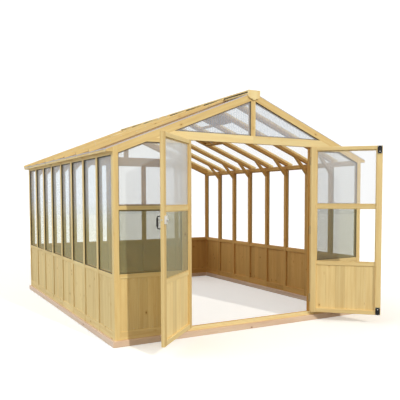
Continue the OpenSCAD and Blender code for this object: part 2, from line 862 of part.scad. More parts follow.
// Vent frame on the right slope: two stiles with a rail between them at each end
module vent_frame() {
    rail = vent_y1 - vent_y0 - 2 * (vent_stile_w + joint_gap);
    depth = frame_h - face_play;
    color(wood) slope() translate([0, 0, face_play]) {
        for (y = [vent_y0, vent_y1 - vent_stile_w]) translate([vent_s0, y, 0])
            timber([vent_len, vent_stile_w, depth], "x", vent_arris);
        translate([vent_s0, vent_y0 + vent_stile_w + joint_gap, 0])
            timber([vent_stile_w, rail, depth], "y", vent_arris);
        translate([vent_s1 - vent_rail_w, vent_y0 + vent_stile_w + joint_gap, 0])
            timber([vent_rail_w, rail, depth], "y", vent_arris);
    }
}

module vent_pane() {
    color(glaze) slope()
        translate([vent_s0 + vent_stile_w, vent_y0 + vent_stile_w, vent_pane_lift])
            cube([vent_len - vent_stile_w - vent_rail_w, vent_y1 - vent_y0 - 2 * vent_stile_w, pane_t]);
}

// Moving hinge leaves of a vent, and the lug and pin that its stay turns on
module vent_fittings() {
    color(steel) {
        at_vent_header() hinge_leaf(vent_hinge_h, vent_axis_h - cut, false);
        slope() translate([stay_s, vent_mid_y, 0]) {
            translate([-lug_w / 2, stay_t / 2 + face_play, -lug_h])
                cube([lug_w, lug_t, lug_h + face_play]);
            translate([0, -stay_t / 2 - face_play - cut, stay_h]) rotate([-90, 0, 0])
                cylinder(r = pin_r, h = stay_t + 2 * face_play + 2 * cut);
            translate([0, -stay_t / 2 - face_play - pin_head_t, stay_h]) rotate([-90, 0, 0])
                cylinder(r = pin_head_r, h = pin_head_t);
        }
    }
}

// Flat stay with a row of holes, lying up the slope from its pin
module vent_stay() {
    color(steel) slope() translate([stay_s, vent_mid_y + stay_t / 2, stay_h]) rotate([90, 0, 0])
        linear_extrude(stay_t) difference() {
            union() {
                circle(d = stay_w);
                translate([-stay_len, 0]) circle(d = stay_w);
                translate([-stay_len, -stay_w / 2]) square([stay_len, stay_w]);
            }
            circle(r = pin_r + pin_play);
            for (x = [stay_hole_step:stay_hole_step:stay_len]) translate([-x, 0])
                circle(r = pin_r + stay_hole_play);
        }
}

module right_vent_frame() vent_frame();
module right_vent_pane() vent_pane();
module right_vent_fittings() vent_fittings();
module right_vent_stay() vent_stay();
module left_vent_frame() mirror([1, 0, 0]) vent_frame();
module left_vent_pane() mirror([1, 0, 0]) vent_pane();
module left_vent_fittings() mirror([1, 0, 0]) vent_fittings();
module left_vent_stay() mirror([1, 0, 0]) vent_stay();

base_beams();
corner_posts();
wall_posts();
side_bottom_rails();
side_boards();
side_sill_rails();
side_panes();
wall_plates();
eave_fascias();
threshold();
front_rails();
front_boards();
door_jambs();
door_stops();
front_panes();
front_tie_beam();
back_tie_beam();
gable_rafters();
king_posts();
gable_panes();
back_rails();
back_boards();
back_panes();
ridge_beam();
ridge_cap();
finials();
inner_rafters();
knee_braces();
roof_sheets();
battens();
vent_trimmers();
ridge_infill();
jamb_hinges();
hinge_pins();
vent_fixed_fittings();
left_door_stiles();
left_door_rails();
left_door_boards();
left_door_panes();
left_door_hinges();
pull_handle();
latch_case();
latch_knob();
latch_bolt();
right_door_stiles();
right_door_rails();
right_door_boards();
right_door_panes();
right_door_hinges();
bolt_plates();
top_bolt();
bottom_bolt();
left_vent_frame();
left_vent_pane();
left_vent_fittings();
left_vent_stay();
right_vent_frame();
right_vent_pane();
right_vent_fittings();
right_vent_stay();
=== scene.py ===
import json
import math

import bmesh
import bpy
from mathutils import Matrix, Vector


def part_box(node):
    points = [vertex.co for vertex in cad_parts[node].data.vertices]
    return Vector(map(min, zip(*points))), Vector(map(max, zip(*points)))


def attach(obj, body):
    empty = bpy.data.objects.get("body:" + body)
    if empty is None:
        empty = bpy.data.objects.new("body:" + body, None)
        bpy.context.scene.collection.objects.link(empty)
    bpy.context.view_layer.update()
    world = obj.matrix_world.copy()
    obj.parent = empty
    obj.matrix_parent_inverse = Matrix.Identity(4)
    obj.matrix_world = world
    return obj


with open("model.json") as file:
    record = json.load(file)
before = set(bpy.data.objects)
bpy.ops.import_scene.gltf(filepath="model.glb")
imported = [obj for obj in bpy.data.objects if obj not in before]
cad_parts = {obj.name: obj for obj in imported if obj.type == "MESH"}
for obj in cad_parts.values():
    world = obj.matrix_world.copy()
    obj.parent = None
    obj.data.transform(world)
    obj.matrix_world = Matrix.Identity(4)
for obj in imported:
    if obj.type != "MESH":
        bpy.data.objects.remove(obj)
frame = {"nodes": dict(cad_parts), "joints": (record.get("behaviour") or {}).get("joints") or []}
nodes = frame["nodes"]
bpy.ops.object.select_all(action="DESELECT")
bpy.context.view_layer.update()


# Camera at the photograph's angle: front left of the house, at eye height.
# The picture is square, and the shift places the house in it as in the photograph.
camera_data = bpy.data.cameras.new("camera")
camera_data.sensor_width = 36
camera_data.lens = 49.98
camera_data.shift_x = -0.0802
camera_data.shift_y = 0.0742
camera = bpy.data.objects.new("camera", camera_data)
camera.location = (-3.1411, -4.8407, 1.3657)
camera.rotation_euler = (1.5133, 0, -0.5376)
bpy.context.scene.collection.objects.link(camera)
bpy.context.scene.camera = camera
bpy.context.scene.view_settings.view_transform = "Standard"


# Daylight: a fairly low sun from the front, and a soft sky that is brighter behind on the left.
# The sky shows pure white behind the house, and lights it at a plain level.
def add(tree, kind, links=None, **settings):
    """Adds a node with its settings; links gives sockets or values for its inputs."""
    made = tree.nodes.new(kind)
    for key, value in settings.items():
        setattr(made, key, value)
    for key, value in (links or {}).items():
        if isinstance(value, bpy.types.NodeSocket):
            tree.links.new(value, made.inputs[key])
        else:
            made.inputs[key].default_value = value
    return made


SUN_PLAN = Vector((-0.163, 1))
SUN_HEIGHT = math.radians(30)
SUN_STRENGTH = 1.6
SUN_COLOUR = (1, 0.965, 0.87)
SKY_FRONT = (0.52, 0.47, 0.4, 1)
SKY_BRIGHT = (1.75, 1.9, 2.02, 1)
BRIGHT_WAY = (-0.86, 0.5, 0)
WHITE = (1.12, 1.12, 1.12, 1)

sun_data = bpy.data.lights.new("sun", "SUN")
sun_data.energy = SUN_STRENGTH
sun_data.angle = math.radians(1.5)
sun_data.color = SUN_COLOUR
sun = bpy.data.objects.new("sun", sun_data)
sun_way = Vector((*SUN_PLAN.normalized(), -math.tan(SUN_HEIGHT)))
sun.rotation_euler = sun_way.to_track_quat("-Z", "Y").to_euler()
bpy.context.scene.collection.objects.link(sun)

sky = bpy.data.worlds.new("sky")
sky.use_nodes = True
bpy.context.scene.world = sky
tree = sky.node_tree
seen = add(tree, "ShaderNodeLightPath").outputs
mirrored = add(tree, "ShaderNodeMath", {0: seen["Is Camera Ray"], 1: seen["Is Glossy Ray"]},
               operation="MAXIMUM").outputs[0]
shown = add(tree, "ShaderNodeMath", {0: mirrored, 1: seen["Is Transmission Ray"]},
            operation="MAXIMUM").outputs[0]
way = add(tree, "ShaderNodeTexCoord").outputs["Generated"]
way = add(tree, "ShaderNodeVectorMath", {0: way, 1: BRIGHT_WAY}, operation="DOT_PRODUCT").outputs["Value"]
near = add(tree, "ShaderNodeMapRange", {"Value": way, "From Min": 0.1, "From Max": 0.8}).outputs[0]
light = add(tree, "ShaderNodeMix", {"Factor": near, "A": SKY_FRONT, "B": SKY_BRIGHT}, data_type="RGBA")
light = add(tree, "ShaderNodeMix", {"Factor": shown, "A": light.outputs["Result"], "B": WHITE},
            data_type="RGBA")
tree.links.new(light.outputs["Result"], tree.nodes["Background"].inputs["Color"])


# Floor: a plain pale disc that runs out of sight and keeps the house's shadow.
# It looks white where the light falls on it, and lights the house as pale ground does.
FLOOR_R = 40
FLOOR_Y = 1.9
bpy.ops.mesh.primitive_circle_add(vertices=96, radius=FLOOR_R, fill_type="NGON", location=(0, FLOOR_Y, 0))
floor = bpy.context.object
floor.name = "floor"
bpy.ops.object.transform_apply()

# Swept pale ground, quite matt: it shows no grain at this size, only the shadow
pale = bpy.data.materials.new("pale_ground")
pale.use_nodes = True
tree = pale.node_tree
seen = add(tree, "ShaderNodeLightPath").outputs
tint = add(tree, "ShaderNodeMapRange", {"Value": seen["Is Camera Ray"], "To Min": 0.34, "To Max": 0.9})
glow = add(tree, "ShaderNodeMapRange", {"Value": seen["Is Camera Ray"], "To Min": 0.0, "To Max": 0.3})
shader = tree.nodes["Principled BSDF"]
shader.inputs["Roughness"].default_value = 0.9
shader.inputs["Specular IOR Level"].default_value = 0.1
shader.inputs["Emission Color"].default_value = (1, 1, 1, 1)
tree.links.new(tint.outputs[0], shader.inputs["Base Color"])
tree.links.new(glow.outputs[0], shader.inputs["Emission Strength"])
floor.data.materials.append(pale)


# Base: four sawn beams of treated softwood, pinker than the house and butted at the corners.
# They stand a little outside the walls, and carry the posts and the bottom rails.
UPRIGHT = (0, 0, 0)
ACROSS = (0, -math.pi / 2, 0)
ALONG = (math.pi / 2, 0, 0)
FAR = 50.0
BEAM_W = 0.089
BOARD_T = 0.019


def linear(colour):
    """The linear colour of an sRGB hex value."""
    parts = [int(colour[i:i + 2], 16) / 255 for i in (1, 3, 5)]
    return (*[c / 12.92 if c < 0.04045 else ((c + 0.055) / 1.055) ** 2.4 for c in parts], 1)


# Early wood, late wood and knots; the doors and the front are paler than the rest: paler copies of the pine,
# painted light for the brighter light on them
PINE = ("#efd699", "#cfa35c", "#8f5f2a")
MILD_PINE_PAINTED_LIGHT = ("#f8dfa3", "#d9af69", "#8f5f2a")
PALE_PINE_PAINTED_LIGHT = ("#fdeab2", "#e6c07c", "#96672f")
TREATED = ("#f0d6bd", "#d3ab8e", "#94664c")
# Deeper tone multiplied into timber faces inside the glazing: painted shade for the dimmer light inside the
# house
INSIDE_SHADE_TONE = (0.82, 0.62, 0.4, 1)
low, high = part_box("base_beams")
middle_y = (low.y + high.y) / 2
INSIDE_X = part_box("corner_posts")[1].x - BOARD_T
INSIDE_Y = middle_y - BOARD_T


def planed_timber(name, grain, start, bay, board=None, colours=PINE, fold=False, turn=None, ends=None,
                  paint_inside_shade=True):
    """Planed softwood: annual rings cut along the grain, a few knots and a tone of its own in
    each piece. start is the corner of the first piece, bay the spacing of the groups of pieces
    and board the spacing of the pieces in a group; grain is the turn that stands the grain up.
    With fold both halves of the house are counted from its middle, and turn is the place and
    the turn of a door leaf. Further than ends[1] from ends[0] along Y, the pieces run across
    the house. Where asked, a deeper tone is multiplied into its faces inside the glazing:
    painted shade, for the dimmer light inside the house."""
    made = bpy.data.materials.new(name)
    made.use_nodes = True
    tree = made.node_tree
    pale, dark, knot_colour = [linear(c) for c in colours]
    where = place = add(tree, "ShaderNodeTexCoord").outputs["Object"]
    if fold:
        place = add(tree, "ShaderNodeVectorMath", {0: place}, operation="ABSOLUTE").outputs[0]
    if turn:
        place = add(tree, "ShaderNodeMapping", {"Vector": place, "Location": turn[0],
                                                "Rotation": turn[1]}, vector_type="TEXTURE").outputs[0]
    if ends:
        parts = add(tree, "ShaderNodeSeparateXYZ", {0: place}).outputs
        crossed = add(tree, "ShaderNodeCombineXYZ", {0: parts[1], 1: parts[0], 2: parts[2]}).outputs[0]
        within = add(tree, "ShaderNodeMath", {0: parts[1], 1: ends[0], 2: ends[1]}, operation="COMPARE")
        place = add(tree, "ShaderNodeMix", {"Factor": within.outputs[0], "A": crossed, "B": place},
                    data_type="VECTOR").outputs["Result"]

    # The groups are counted, then the pieces in a group; what is left is the place in the piece
    place = add(tree, "ShaderNodeVectorMath", {0: place, 1: start}, operation="SUBTRACT").outputs[0]
    group = None
    for step in (bay, board or bay):
        count = add(tree, "ShaderNodeVectorMath", {0: place, 1: step}, operation="DIVIDE").outputs[0]
        count = add(tree, "ShaderNodeVectorMath", {0: count}, operation="FLOOR").outputs[0]
        back = add(tree, "ShaderNodeVectorMath", {0: count, 1: step}, operation="MULTIPLY").outputs[0]
        place = add(tree, "ShaderNodeVectorMath", {0: place, 1: back}, operation="SUBTRACT").outputs[0]
        group = group or count
    piece = add(tree, "ShaderNodeVectorMath", {0: group, 1: (11, 13, 17), 2: count},
                operation="MULTIPLY_ADD").outputs[0]
    chance = add(tree, "ShaderNodeTexWhiteNoise", {"Vector": piece}, noise_dimensions="3D").outputs

    # The heart of the log is 0.1 m off the corner, and each piece comes from another place in it
    log = add(tree, "ShaderNodeMapping", {"Vector": place, "Location": (-0.1, -0.1, 0), "Rotation": grain})
    log = add(tree, "ShaderNodeVectorMath", {0: chance["Color"], 1: (0.2, 0.2, 9), 2: log.outputs[0]},
              operation="MULTIPLY_ADD").outputs[0]

    # Annual rings 7 mm apart, wider than the real 3 mm, which would not show
    drawn = add(tree, "ShaderNodeVectorMath", {0: log, 1: (1, 1, 0.06)}, operation="MULTIPLY").outputs[0]
    rings = add(tree, "ShaderNodeTexWave",
                {"Vector": drawn, "Scale": 45, "Distortion": 7, "Detail": 3, "Detail Scale": 0.25,
                 "Detail Roughness": 0.55}, wave_type="RINGS", rings_direction="Z",
                wave_profile="SAW").outputs["Fac"]
    # Broad streaks about 40 mm wide and 0.6 m long, and fibres 2.4 mm apart that give the sheen
    streaks = add(tree, "ShaderNodeTexNoise", {"Vector": drawn, "Scale": 26, "Detail": 5,
                                               "Roughness": 0.62}).outputs["Fac"]
    fibres = add(tree, "ShaderNodeTexNoise", {"Vector": drawn, "Scale": 420, "Detail": 2}).outputs["Fac"]

    # Knots about 14 mm across, one to a cell 70 mm wide and 400 mm long
    cell = (0.07, 0.07, 0.4)
    scaled = add(tree, "ShaderNodeVectorMath", {0: log, 1: cell}, operation="DIVIDE").outputs[0]
    nearest = add(tree, "ShaderNodeTexVoronoi", {"Vector": scaled, "Scale": 1}).outputs["Position"]
    away = add(tree, "ShaderNodeVectorMath", {0: scaled, 1: nearest}, operation="SUBTRACT").outputs[0]
    away = add(tree, "ShaderNodeVectorMath", {0: away, 1: (0.07, 0.07, 0.26)},
               operation="MULTIPLY").outputs[0]
    reach = add(tree, "ShaderNodeVectorMath", {0: away}, operation="LENGTH").outputs["Value"]
    knot = add(tree, "ShaderNodeMapRange", {"Value": reach, "From Min": 0.0045, "From Max": 0.0085,
                                            "To Min": 0.85, "To Max": 0.0}).outputs[0]
    halo = add(tree, "ShaderNodeMapRange", {"Value": reach, "From Min": 0.006, "From Max": 0.02,
                                            "To Min": 0.4, "To Max": 0.0}).outputs[0]

    # Late wood and streaks are darker, and so is the wood round a knot
    depth = add(tree, "ShaderNodeMath", {0: streaks, 1: 1.3, 2: halo}, operation="MULTIPLY_ADD").outputs[0]
    depth = add(tree, "ShaderNodeMath", {0: depth, 1: -0.5}, operation="ADD").outputs[0]
    depth = add(tree, "ShaderNodeMath", {0: rings, 1: 0.26, 2: depth}, operation="MULTIPLY_ADD",
                use_clamp=True).outputs[0]
    wood = add(tree, "ShaderNodeMix", {"Factor": depth, "A": pale, "B": dark}, data_type="RGBA")
    tone = add(tree, "ShaderNodeMapRange", {"Value": chance["Value"], "To Min": 0.91, "To Max": 1.04})
    wood = add(tree, "ShaderNodeVectorMath", {0: wood.outputs["Result"], "Scale": tone.outputs[0]},
               operation="SCALE").outputs[0]
    wood = add(tree, "ShaderNodeMix", {"Factor": knot, "A": wood, "B": knot_colour}, data_type="RGBA")
    # Painted shade: faces inside the glazing take the deeper tone, for the dimmer light inside the house
    if paint_inside_shade:
        parts = add(tree, "ShaderNodeSeparateXYZ", {0: where}).outputs
        across = add(tree, "ShaderNodeMath", {0: parts[0], 1: 0.0, 2: INSIDE_X}, operation="COMPARE")
        along = add(tree, "ShaderNodeMath", {0: parts[1], 1: middle_y, 2: INSIDE_Y}, operation="COMPARE")
        inside = add(tree, "ShaderNodeMath", {0: across.outputs[0], 1: along.outputs[0]},
                     operation="MULTIPLY").outputs[0]
        wood = add(tree, "ShaderNodeMix", {"Factor": inside, "A": wood.outputs["Result"],
                                           "B": INSIDE_SHADE_TONE}, data_type="RGBA", blend_type="MULTIPLY")
    relief = add(tree, "ShaderNodeMath", {0: fibres, 1: 0.5, 2: rings}, operation="MULTIPLY_ADD").outputs[0]
    bump = add(tree, "ShaderNodeBump", {"Height": relief, "Strength": 0.35, "Distance": 0.0005})
    gloss = add(tree, "ShaderNodeMapRange", {"Value": fibres, "To Min": 0.5, "To Max": 0.68})
    shader = tree.nodes["Principled BSDF"]
    shader.inputs["Specular IOR Level"].default_value = 0.3
    tree.links.new(wood.outputs["Result"], shader.inputs["Base Color"])
    tree.links.new(gloss.outputs[0], shader.inputs["Roughness"])
    tree.links.new(bump.outputs[0], shader.inputs["Normal"])
    return made


def dress(finish, *names):
    """Gives nodes of the frame their finish."""
    for name in names:
        nodes[name].data.materials.clear()
        nodes[name].data.materials.append(finish)


# The long beams lie between the short ones, which run across the house at each end
between = (high.y - low.y) / 2 - BEAM_W
dress(planed_timber("sawn_treated_beam", ALONG, (-FAR / 2, -FAR / 2, 0), (FAR, FAR, FAR),
                    colours=TREATED, ends=(middle_y, between), paint_inside_shade=False), "base_beams")


# Posts and side walls: square planed softwood, standing on the base between the bays.
# Rails run from post to post with tongued boards between them, and plates lie on the posts.
BAYS = 8
BACK_BAYS = 5
SIDE_BOARDS = 4
BOARD_GAP = 0.0004
BEHIND = 0.04  # from a wall's outer face to a line behind its boards
BEFORE = -0.2  # a line in front of the first post, less than a bay away
low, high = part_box("front_tie_beam")
POST = high.y - low.y
low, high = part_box("corner_posts")
half, length = high.x, high.y
pitch = (length - POST) / BAYS
back_pitch = (2 * half - POST) / BACK_BAYS
for name in ("corner_posts", "wall_posts"):
    start = (-half - back_pitch / 2, BEFORE, 0)
    dress(planed_timber("planed_" + name, UPRIGHT, start, (back_pitch, pitch, FAR)), name)
for name in ("wall_plates", "eave_fascias"):
    dress(planed_timber("planed_" + name, ALONG, (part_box(name)[0].x, 0, 0), (half, FAR, FAR)), name)
for name in ("side_bottom_rails", "side_sill_rails"):
    dress(planed_timber("planed_" + name, ALONG, (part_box(name)[0].x, POST, 0), (half, pitch, FAR)), name)
board = (pitch - POST + BOARD_GAP) / SIDE_BOARDS
dress(planed_timber("tongued_side_board", UPRIGHT, (half - BEHIND, POST, 0), (FAR, pitch, FAR),
                    (FAR, board, FAR), fold=True), "side_boards")


# Front and back walls: rails between the posts, boards under the sills, tie beams on top.
# The back wall has five bays, and the front a panel on each side of the doorway.
FRONT_BOARDS = 7
BACK_BOARDS = 6
RAIL_STEP = 0.3  # in height, so that no two rails share a tone
front_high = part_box("front_boards")[1]
jamb_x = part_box("threshold")[1].x + POST
for name in ("front_rails", "back_rails", "threshold", "front_tie_beam", "back_tie_beam"):
    start = (-half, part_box(name)[0].y, 0)
    dress(planed_timber("planed_" + name, ACROSS, start, (half, FAR, RAIL_STEP),
                        colours=PALE_PINE_PAINTED_LIGHT if name in ("threshold", "front_tie_beam") else PINE), name)
board = (front_high.x - jamb_x + BOARD_GAP) / FRONT_BOARDS
dress(planed_timber("tongued_front_board", UPRIGHT, (jamb_x, 0, 0), (FAR, FAR, FAR), (board, FAR, FAR),
                    fold=True), "front_boards")
for name in ("door_jambs", "door_stops", "king_posts"):
    start = (-1.5 * half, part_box(name)[0].y, 0)
    dress(planed_timber("planed_" + name, UPRIGHT, start, (half, 1, FAR)), name)
board = (back_pitch - POST + BOARD_GAP) / BACK_BOARDS
dress(planed_timber("tongued_back_board", UPRIGHT, (POST - half, length - BEHIND, 0),
                    (back_pitch, FAR, FAR), (board, FAR, FAR)), "back_boards")


# Roof frame: rafters on the plates with knee braces under them, ridge beam and cap.
# It is the same pine as the walls; battens, vent frames, cap and finials stand outside the glazing, so they
# get no painted inside shade.
PITCH = math.radians(22.3)
DOWN_SLOPE = (0, -math.pi / 2 - PITCH, 0)
BRACE_LEAN = (0, -math.radians(46), 0)
for name, grain in (("gable_rafters", DOWN_SLOPE), ("inner_rafters", DOWN_SLOPE),
                    ("knee_braces", BRACE_LEAN), ("vent_trimmers", ALONG), ("ridge_infill", DOWN_SLOPE),
                    ("battens", DOWN_SLOPE), ("left_vent_frame", DOWN_SLOPE),
                    ("right_vent_frame", DOWN_SLOPE)):
    dress(planed_timber("planed_" + name, grain, (0, BEFORE, 0), (FAR, pitch, FAR), fold=True,
                        paint_inside_shade=name not in ("battens", "left_vent_frame", "right_vent_frame")), name)
dress(planed_timber("planed_ridge_beam", ALONG, (-1, 0, 0), (FAR, FAR, FAR)), "ridge_beam")
dress(planed_timber("planed_ridge_cap", ALONG, (-1, 0, 0), (FAR, FAR, FAR), paint_inside_shade=False), "ridge_cap")
dress(planed_timber("planed_finials", UPRIGHT, (-1, -1, 0), (FAR, 1, FAR), colours=PALE_PINE_PAINTED_LIGHT,
                    paint_inside_shade=False), "finials")


# Glazing: 6 mm twin-wall polycarbonate sheet, clear enough to see the frame through it.
# Brown rubber gaskets hold the panes outside and pine beads inside; the gaskets also fill the reveals as
# painted shade.
WEB_STEP = 0.02
WEB_MILK = 0.03
CLEARER = 0.12
MID_RAIL = (1.26, 1.29)


def twin_wall(name, webs_along, milk, low_tint_and_reflection, high_tint_and_reflection, levels, milkier=None, turn=None, shading=0.85):
    """Twin-wall sheet: clear skins with a web every 20 mm, wider than the real 10 mm, which
    shows as a fine milky line. Between the two levels the skins go from a low tint to a high
    one, and from milk[0] to milk[1]; shading is how much of the sunlight their webs and coating
    keep out. milkier is the way to the wall that has the milkier sheet, and the opposite
    wall has a clearer one."""
    made = bpy.data.materials.new(name)
    made.use_nodes = True
    tree = made.node_tree
    place = add(tree, "ShaderNodeTexCoord").outputs["Object"]
    height = add(tree, "ShaderNodeSeparateXYZ", {0: place}).outputs["Z"]
    height = add(tree, "ShaderNodeMapRange", {"Value": height, "From Min": levels[0],
                                              "From Max": levels[1]}).outputs[0]
    shader = tree.nodes["Principled BSDF"]
    # Where the low and high tints differ, they are a painted reflection: darker and greener low down, bluer
    # higher up
    if low_tint_and_reflection == high_tint_and_reflection:
        shader.inputs["Base Color"].default_value = linear(high_tint_and_reflection)
    else:
        tint = add(tree, "ShaderNodeMix", {"Factor": height, "A": linear(low_tint_and_reflection), "B": linear(high_tint_and_reflection)},
                   data_type="RGBA")
        tree.links.new(tint.outputs["Result"], shader.inputs["Base Color"])
    if turn:
        place = add(tree, "ShaderNodeMapping", {"Vector": place, "Location": turn[0],
                                                "Rotation": turn[1]}, vector_type="TEXTURE").outputs[0]

    # A fine milky line over each web, on skins that are a little milky all over
    count = add(tree, "ShaderNodeVectorMath", {0: place, 1: webs_along}, operation="DOT_PRODUCT")
    count = add(tree, "ShaderNodeMath", {0: count.outputs["Value"], 1: 1 / WEB_STEP}, operation="MULTIPLY")
    web = add(tree, "ShaderNodeMath", {0: count.outputs[0], 1: 0.5}, operation="PINGPONG").outputs[0]
    web = add(tree, "ShaderNodeMapRange", {"Value": web, "From Min": 0.36, "From Max": 0.5}).outputs[0]
    skins = add(tree, "ShaderNodeMapRange", {"Value": height, "To Min": milk[0], "To Max": milk[1]})
    cover = add(tree, "ShaderNodeMath", {0: web, 1: WEB_MILK, 2: skins.outputs[0]},
                operation="MULTIPLY_ADD")
    # Painted reflection: the wall that faces milkier's way keeps its milk, standing in for the sky reflected
    # on it, and the opposite wall's milk is cut to CLEARER
    if milkier:
        place = add(tree, "ShaderNodeTexCoord").outputs["Object"]
        place = add(tree, "ShaderNodeVectorMath", {0: place, 1: (0, middle_y, 0)}, operation="SUBTRACT")
        beyond = add(tree, "ShaderNodeVectorMath", {0: place.outputs[0], 1: milkier},
                     operation="DOT_PRODUCT")
        wall = add(tree, "ShaderNodeMath", {0: beyond.outputs["Value"], 1: 0.0}, operation="GREATER_THAN")
        wall = add(tree, "ShaderNodeMapRange", {"Value": wall.outputs[0], "To Min": CLEARER,
                                                "To Max": 1.0})
        cover = add(tree, "ShaderNodeMath", {0: cover.outputs[0], 1: wall.outputs[0]}, operation="MULTIPLY")

    # The sheet keeps out more of the sunlight than it hides of what stands behind it
    sunlight = add(tree, "ShaderNodeLightPath").outputs["Is Shadow Ray"]
    shade = add(tree, "ShaderNodeMath", {0: sunlight, 1: shading}, operation="MULTIPLY").outputs[0]
    cover = add(tree, "ShaderNodeMath", {0: cover.outputs[0], 1: shade}, operation="MAXIMUM").outputs[0]

    # Polycarbonate: extruded skins with a soft gloss, drawn in a little over each web
    bump = add(tree, "ShaderNodeBump", {"Height": web, "Strength": 0.06, "Distance": 0.0005})
    shader.inputs["Roughness"].default_value = 0.16
    shader.inputs["IOR"].default_value = 1.58
    tree.links.new(cover, shader.inputs["Alpha"])
    tree.links.new(bump.outputs[0], shader.inputs["Normal"])
    return made


def smooth_finish(name, colour, metallic, rough, grain_mm):
    """A metal, rubber, foam or plastic whose surface is uneven in tone, gloss and height, over
    grain_mm millimetres."""
    made = bpy.data.materials.new(name)
    made.use_nodes = True
    tree = made.node_tree
    place = add(tree, "ShaderNodeTexCoord").outputs["Object"]
    coat = add(tree, "ShaderNodeTexNoise", {"Vector": place, "Scale": 1000 / grain_mm, "Detail": 3})
    shade = add(tree, "ShaderNodeMapRange", {"Value": coat.outputs["Fac"], "To Min": rough - 0.1,
                                             "To Max": rough + 0.12})
    tone = add(tree, "ShaderNodeMapRange", {"Value": coat.outputs["Fac"], "To Min": 0.8, "To Max": 1.15})
    base = add(tree, "ShaderNodeVectorMath", {0: linear(colour)[:3], "Scale": tone.outputs[0]},
               operation="SCALE")
    bump = add(tree, "ShaderNodeBump", {"Height": coat.outputs["Fac"], "Strength": 0.2,
                                        "Distance": 0.0002})
    shader = tree.nodes["Principled BSDF"]
    shader.inputs["Metallic"].default_value = metallic
    tree.links.new(base.outputs[0], shader.inputs["Base Color"])
    tree.links.new(shade.outputs[0], shader.inputs["Roughness"])
    tree.links.new(bump.outputs[0], shader.inputs["Normal"])
    return made


def pick(rule, kind="FACE"):
    """In edit mode, selects the faces or edges of the piece that the rule picks, and no others."""
    bpy.ops.mesh.select_mode(type=kind)
    bpy.ops.mesh.select_all(action="DESELECT")
    mesh = bpy.context.object.data
    shape = bmesh.from_edit_mesh(mesh)
    for part in shape.faces if kind == "FACE" else shape.edges:
        if rule(part):
            part.select_set(True)
    shape.select_flush_mode()
    bmesh.update_edit_mesh(mesh)


def seat(piece, name, body, finish):
    """Names a finished piece, gives it its finish and hangs it on its body."""
    piece.name = piece.data.name = name
    piece.data.materials.clear()
    piece.data.materials.append(finish)
    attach(piece, body)
    bpy.ops.object.select_all(action="DESELECT")


def line_panes(name, node, body, faced, width, depth, finish):
    """Runs a strip round each pane of a node, on the faces that faced picks."""
    strip = bpy.data.objects.new(name, nodes[node].data.copy())
    bpy.context.scene.collection.objects.link(strip)
    bpy.ops.object.select_all(action="DESELECT")
    strip.select_set(True)
    bpy.context.view_layer.objects.active = strip
    bpy.ops.object.mode_set(mode="EDIT")
    bpy.ops.mesh.select_all(action="SELECT")
    bpy.ops.mesh.remove_doubles(threshold=0.00002)
    bpy.ops.mesh.dissolve_limited(angle_limit=0.01)
    pick(lambda face: not faced(face))
    bpy.ops.mesh.delete(type="FACE")
    bpy.ops.mesh.select_all(action="SELECT")
    bpy.ops.mesh.inset(thickness=width, use_individual=True)
    bpy.ops.mesh.delete(type="FACE")
    bpy.ops.object.mode_set(mode="OBJECT")
    thick = strip.modifiers.new("depth", "SOLIDIFY")
    thick.thickness = depth
    thick.offset = 1
    bpy.ops.object.modifier_apply(modifier="depth")
    seat(strip, name, body, finish)


def towards(x, y):
    """Picks a face square to X or Y that looks away from the middle of the house, or into it
    where the direction is negative."""
    def faced(face):
        place = face.calc_center_median() - Vector((0, middle_y, 0))
        look = face.normal.x * math.copysign(1, place.x) * x + face.normal.y * math.copysign(1, place.y) * y
        return look > 0.9
    return faced


# Tints from low to high, and the milkier front and left walls, are painted reflection
dress(twin_wall("twin_wall_side", (0, 1, 0), (0.24, 0.3), "#e6efb8", "#d8ecf6", (1.0, 1.35),
                (-1, 0, 0)), "side_panes")
dress(twin_wall("twin_wall_front", (1, 0, 0), (0.42, 0.28), "#9aa07c", "#e0e8ec", MID_RAIL,
                (0, -1, 0)), "front_panes", "back_panes")
dress(twin_wall("twin_wall_gable", (1, 0, 0), (0.3, 0.3), "#dceafc", "#dceafc", (2, 2.3),
                (0, -1, 0)), "gable_panes")
dress(twin_wall("twin_wall_roof", (0, 1, 0), (0.09, 0.09), "#e8f2ff", "#e8f2ff", (1.8, 2.4),
                shading=0.6), "roof_sheets", "left_vent_pane", "right_vent_pane")

# Strips round the panes, by their width over the pane and their depth. Gaskets are extruded
# rubber, dark brown and matt, and their dark brown is also painted shade of the reveals; beads are planed
# pine, so small that each keeps one tone
rubber = smooth_finish("brown_gasket_and_reveal_shade", "#4b3f28", 0, 0.7, 2)
line_panes("side_gaskets", "side_panes", "house", towards(1, 0), 0.003, 0.01, rubber)
bead = planed_timber("pine_glazing_bead", UPRIGHT, (-FAR / 2, -FAR / 2, 0), (FAR, FAR, FAR))
line_panes("side_beads", "side_panes", "house", towards(-1, 0), 0.012, 0.014, bead)
for wall in ("front", "back", "gable"):
    line_panes(wall + "_gaskets", wall + "_panes", "house", towards(0, 1), 0.002, 0.006,
               rubber)
    line_panes(wall + "_beads", wall + "_panes", "house", towards(0, -1), 0.012, 0.014, bead)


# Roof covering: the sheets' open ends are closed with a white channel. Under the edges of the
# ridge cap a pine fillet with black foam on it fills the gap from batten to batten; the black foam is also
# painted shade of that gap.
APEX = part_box("gable_rafters")[1].z
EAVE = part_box("roof_sheets")[1].x / math.cos(PITCH)
SHEET = 0.006
SHEET_GAP = 0.002
BATTEN_W = 0.03
BATTEN_TOP = 0.0325
VENT_BAY = 4
CAP_EDGE = 0.07
CHANNEL = 0.012
CHANNEL_T = 0.0008
CHANNEL_LIP = 0.0006
GROOVE = 0.01
BED_GAP = 0.0001
FILLET_W = 0.01
FILLET_TOP = 0.0225
FOAM_TOP = 0.0315


